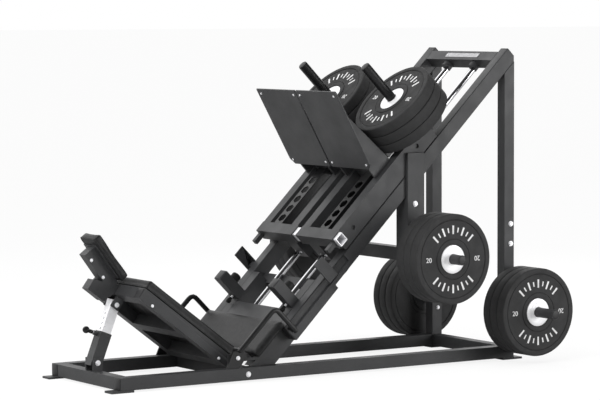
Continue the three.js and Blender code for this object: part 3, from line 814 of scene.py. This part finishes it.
def fasteners():
    """Hexagon bolts on the tubes and small round-headed screws on the foot plates."""
    for side, sign in SIDES.items():
        out = Y * sign
        rail = abs(span(f"side_rail_{side}", Y)[0 if sign < 0 else 1])
        drop = rail + 0.017
        back = span("back_frame", Y)[1]
        hinge, foot = joint_place("backrest_hinge"), joint_place("strut_swing")
        bolt(f"base_bolt_{side}", "frame", on_base(0.698, sign * rail, 0.0385), out)
        bolt(f"tower_bolt_high_{side}", "frame", on_base(2.266, sign * rail, 0.694), out)
        bolt(f"tower_bolt_low_{side}", "frame", on_base(2.266, sign * rail, 0.593), out)
        bolt(f"horn_nut_{side}", "frame", on_base(2.262, sign * (rail - 0.06), 0.211), -out, 0.75)
        bolt(f"drop_bolt_{side}", "frame", on_base(1.662, sign * drop, 0.821), out)
        bolt(f"hinge_bolt_{side}", "frame", Vector((hinge.x, sign * 0.296, hinge.z)), out)
        bolt(f"strut_foot_bolt_{side}", "frame", Vector((foot.x, sign * 0.039, foot.z)), out)
        bolt(f"strut_top_bolt_{side}", "backrest", on_strut(0.2906, sign * 0.039, 0), out, 0.9)
        bolt(f"back_bolt_high_{side}", "backrest", on_back(0.081, sign * back, -0.047), out, 0.55)
        bolt(f"back_bolt_low_{side}", "backrest", on_back(0.535, sign * back, -0.047), out, 0.55)
        bolt(f"head_bolt_high_{side}", "backrest", on_head(0.091, sign * 0.03, -0.1), out, 0.6)
        bolt(f"head_bolt_low_{side}", "backrest", on_head(0.196, sign * 0.03, -0.1), out, 0.6)
        bolt(f"grip_bracket_bolt_{side}", "frame", on_base(0.643, sign * 0.341, 0.12), out, 0.8)
        bolt(f"rail_groove_bolt_{side}", "frame", on_slope(0.042, sign * (rail - 0.014), -0.03), out, 0.5)
        screw(f"grip_screw_{side}", "frame", on_slope(-0.127, sign * 0.4025, 0.131), out)
        for k in (-1, 1):
            place = on_slope(0.49, sign * (0.115 + k * 0.023), -0.043)
            screw(f"housing_screw_{side}_{(k + 3) // 2}", f"carriage_{side}", place, -UP_SLOPE)
        plate = f"foot_plate_{side}"
        up = UP_SLOPE * math.sin(FOOT_PLATE_LEAN) + OFF_SLOPE * math.cos(FOOT_PLATE_LEAN)
        front = OFF_SLOPE * math.sin(FOOT_PLATE_LEAN) - UP_SLOPE * math.cos(FOOT_PLATE_LEAN)
        low, high = span(plate, up)
        near, far = sorted(abs(v) for v in span(plate, Y))
        for row, height in (("low", low + 0.026), ("high", high - 0.026)):
            for column, across in (("inner", near + 0.023), ("outer", far - 0.03)):
                place = point(up, height, sign * across, front, span(plate, front)[1])
                screw(f"{plate}_screw_{row}_{column}", f"carriage_{side}", place, front)


def end_cap(name, body, place, out, up, wide, tall):
    """A moulded plug in the open end of a square tube, its domed face standing a little proud."""

    def build(work):
        rows = []
        for inset, z in ((0.0025, 0.0), (0.0025, 0.0016), (0.0045, 0.0028)):
            outline = rounded_outline(wide - 2 * inset, tall - 2 * inset, 0.006 - inset / 2)
            rows.append([work.verts.new((x, y, z)) for x, y in outline])
        work.faces.new(rows[0][::-1])
        for a, b in zip(rows, rows[1:]):
            for k in range(len(a)):
                n = (k + 1) % len(a)
                work.faces.new((a[k], a[n], b[n], b[k]))
        work.faces.new(rows[-1])

    matrix = axes(place, out, up.cross(out))
    piece = new_piece(name, shape(name, build), body, CAP_PLASTIC, matrix)
    soften(piece.data)


BASE_LONG = 2.287


def end_caps():
    tube = 0.06
    for side, sign in SIDES.items():
        centre = sign * 0.315
        rail = f"base_rail_{side}"
        for end, out, x in (("head", -X, BASE_START), ("tower", X, BASE_START + BASE_LONG)):
            end_cap(f"{rail}_cap_{end}", "frame", Vector((x, centre, 0.04)), out, Z, tube, tube)
        low = on_slope(0, centre, -0.0485)
        end_cap(f"side_rail_cap_{side}", "frame", low, -UP_SLOPE, OFF_SLOPE, tube, 0.095)
        place = on_back(0, sign * 0.242, -0.029)
        end_cap(f"back_frame_cap_{side}", "backrest", place, -DOWN_BACK, OFF_BACK, tube, 0.056)
        post = span(f"stop_post_{side}", OFF_SLOPE)[1] - RAIL_TOP
        place = on_slope(0.146, sign * 0.252, post)
        end_cap(f"stop_post_cap_{side}", f"stop_{side}", place, OFF_SLOPE, UP_SLOPE, 0.058, 0.054)
        upright = span(f"drop_upright_{side}", Z)[0]
        place = Vector((middle(f"drop_upright_{side}", X), sign * 0.312, upright))
        end_cap(f"drop_upright_cap_{side}", "frame", place, -Z, X, 0.098, 0.098)


def name_plate():
    """A blank plate on the top crossbar, held by two rivets."""
    top = span("top_crossbar", OFF_SLOPE)[1] - RAIL_TOP
    place = on_slope(span("top_crossbar", UP_SLOPE)[1] - RAIL_START - 0.029, -0.008, top)

    def build(work):
        prism(work, rounded_outline(0.28, 0.028, 0.004), 0, 0.0015)

    mesh = shape("name_plate", build)
    plate = new_piece("name_plate", mesh, "frame", NAMEPLATE, axes(place, OFF_SLOPE, Y))
    bevel(plate, 0.0005, 2)
    for end in (-1, 1):
        rivet = place + Y * end * 0.131 + OFF_SLOPE * 0.0015
        name = f"name_plate_rivet_{(end + 3) // 2}"
        new_piece(name, RIVET, "frame", ZINC, axes(rivet, OFF_SLOPE, Y))


def rod_collars():
    """A split clamp ring at the lower end of each guide rod."""
    for side in SIDES:
        rod = f"guide_rod_{side}"
        low = span(rod, UP_SLOPE)[0]
        place = point(UP_SLOPE, low + 0.0015, middle(rod, Y), OFF_SLOPE, middle(rod, OFF_SLOPE))
        bore, edge, outer, long = 0.0153, 0.0235, 0.0245, 0.014
        profile = [(bore, 0.0), (edge, 0.0), (outer, 0.001), (outer, long - 0.001)]
        profile += [(edge, long), (bore, long)]
        mesh = lathe_mesh(f"rod_collar_{side}", profile, 48)
        new_piece(f"rod_collar_{side}", mesh, "frame", ZINC, axes(place, UP_SLOPE, Y))


def make_fasteners():
    dome = [(0, 0), (0.0062, 0), (0.0062, 0.0008), (0.0052, 0.0024), (0.0034, 0.0033), (0.0027, 0.0034)]
    socket = [(0.0027, 0.0016), (0, 0.0016)]
    rivet = [(0, 0), (0.003, 0), (0.0028, 0.0008), (0.0018, 0.0014), (0, 0.0016)]
    return (
        hex_bolt_mesh(0.019, 0.0075, 0.0135, 0.0022),
        lathe_mesh("button_screw", dome + socket, 32),
        lathe_mesh("rivet", rivet, 24),
    )


BOLT, SCREW, RIVET = make_fasteners()


# ---------------------------------------------------------------- soft pads
PAD_INSET = 0.004
PAD_EDGE = 0.0075
PAD_PRESSURE = 3.5
BOARD_THICK = 0.012
CLOTH_STEPS = 20
WELT_R = 0.0021
WELT_HEIGHT = 0.007
WELT_CORNER = 0.014


def rounded_block(name, a_span, half, b_span, along, square, radius, grid):
    """A pad blank in its own axes, rounded at every edge, as a dense even mesh."""

    def build(work):
        bmesh.ops.create_cube(work, size=1)
        for v in work.verts:
            v.co = Vector((
                a_span[0] if v.co.x < 0 else a_span[1],
                -half if v.co.y < 0 else half,
                b_span[0] if v.co.z < 0 else b_span[1],
            ))
        edges = list(work.edges)
        bmesh.ops.bevel(work, geom=edges, offset=radius, segments=4, profile=0.5, affect="EDGES")

    mesh = shape(name, build)
    matrix = Matrix((along, Y, square)).transposed().to_4x4()
    piece = bpy.data.objects.new(name, mesh)
    bpy.context.scene.collection.objects.link(piece)
    remesh = piece.modifiers.new("grid", "REMESH")
    remesh.mode = "VOXEL"
    remesh.voxel_size = grid
    bake(piece)
    return piece, matrix


def bake(piece):
    """Applies every modifier of a piece to its mesh."""
    bpy.context.view_layer.update()
    shown = piece.evaluated_get(bpy.context.evaluated_depsgraph_get())
    ready = bpy.data.meshes.new_from_object(shown)
    old = piece.data
    piece.modifiers.clear()
    piece.data = ready
    bpy.data.meshes.remove(old)


def inflate(piece, pressure, cap):
    """Fills a pad with air for a moment, as cloth, and keeps each point within cap of where it was."""
    start = [v.co.copy() for v in piece.data.vertices]
    low = min(v.z for v in start)
    pinned = piece.vertex_groups.new(name="board")
    held = [v.index for v in piece.data.vertices if v.co.z < low + BOARD_THICK]
    pinned.add(held, 1.0, "REPLACE")
    cloth = piece.modifiers.new("cloth", "CLOTH")
    cloth.settings.quality = 5
    cloth.settings.mass = 0.4
    cloth.settings.tension_stiffness = 25
    cloth.settings.compression_stiffness = 25
    cloth.settings.shear_stiffness = 10
    cloth.settings.bending_stiffness = 3
    cloth.settings.use_pressure = True
    cloth.settings.uniform_pressure_force = pressure
    cloth.settings.vertex_group_mass = "board"
    cloth.settings.effector_weights.gravity = 0
    cloth.collision_settings.use_collision = False
    scene = bpy.context.scene
    for step in range(1, CLOTH_STEPS + 1):
        scene.frame_set(step)
    bake(piece)
    scene.frame_set(1)
    for v, home in zip(piece.data.vertices, start):
        move = v.co - home
        if move.length > cap:
            v.co = home + move.normalized() * cap


def piping(name, pad, height, outline):
    """A welt cord sewn round a pad: it lies on the pad's side at one height over the board."""
    corners = [v.co for v in pad.data.vertices]
    surface = BVHTree.FromPolygons(corners, [f.vertices for f in pad.data.polygons])
    path = []
    for k, (x, y) in enumerate(outline):
        before, after = outline[k - 1], outline[(k + 1) % len(outline)]
        away = Vector((after[1] - before[1], before[0] - after[0], 0)).normalized()
        start = Vector((x, y, height)) - away * 0.03
        hit = surface.ray_cast(start, away)[0]
        if hit is not None:
            path.append((hit, away))

    def build(work):
        turns = [2 * math.pi * k / 8 for k in range(8)]
        rings = []
        for place, away in path:
            out, up = away * WELT_R, Z * WELT_R
            rings.append([work.verts.new(place + out * math.cos(t) + up * math.sin(t)) for t in turns])
        for a, b in zip(rings, rings[1:] + rings[:1]):
            for k in range(8):
                n = (k + 1) % 8
                work.faces.new((a[k], b[k], b[n], a[n]))

    return shape(name, build)


def perimeter(a, half, radius, step=0.012):
    """Evenly spaced points round a rounded rectangle, anticlockwise."""
    corners = rounded_outline(a[1] - a[0], 2 * half, radius, 8)
    middle_x = (a[0] + a[1]) / 2
    outline = []
    for k, here in enumerate(corners):
        there = corners[(k + 1) % len(corners)]
        gap = math.dist(here, there)
        pieces = max(1, round(gap / step))
        for i in range(pieces):
            t = i / pieces
            x, y = (p + (q - p) * t for p, q in zip(here, there))
            outline.append((x + middle_x, y))
    return outline


PADS = {
    # name: (body, along, square, grid, cap)
    "seat_pad": ("frame", UP_SLOPE, OFF_SLOPE, 0.006, 0.0035),
    "back_pad": ("backrest", DOWN_BACK, OFF_BACK, 0.0065, 0.0035),
    "head_pad": ("backrest", DOWN_HEAD, OFF_HEAD, 0.0045, 0.003),
}


def pads():
    for node, (body, along, square, grid, cap) in PADS.items():
        a, b = span(node, along), span(node, square)
        length = (a[0] + PAD_INSET, a[1] - PAD_INSET)
        half = span(node, Y)[1] - PAD_INSET
        blank = (length, half, (b[0], b[1] - PAD_INSET))
        pad, matrix = rounded_block(f"{node}_upholstery", *blank, along, square, PAD_EDGE, grid)
        inflate(pad, PAD_PRESSURE, cap)
        smooth = pad.modifiers.new("smooth", "SMOOTH")
        smooth.factor = 0.5
        smooth.iterations = 2
        finer = pad.modifiers.new("finer", "SUBSURF")
        finer.levels = 1
        finer.render_levels = 1
        bake(pad)
        outline = perimeter(length, half, WELT_CORNER)
        welt = piping(f"{node}_welt", pad, b[0] + WELT_HEIGHT, outline)
        welt.transform(matrix)
        cord = new_piece(f"{node}_welt", welt, body, WELT)
        soften(cord.data)
        pad.data.transform(matrix)
        for face in pad.data.polygons:
            face.use_smooth = True
        pad.data.materials.clear()
        pad.data.materials.append(VINYL)
        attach(pad, body)
        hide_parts(node)


# ---------------------------------------------------------------- the whole
look_from_the_front_right()
studio()
floor()
dress_the_frame()
weight_plates()
guide_rods()
horns()
stops()
strut_pull_pin()
hand_grips()
fasteners()
end_caps()
name_plate()
rod_collars()
pads()
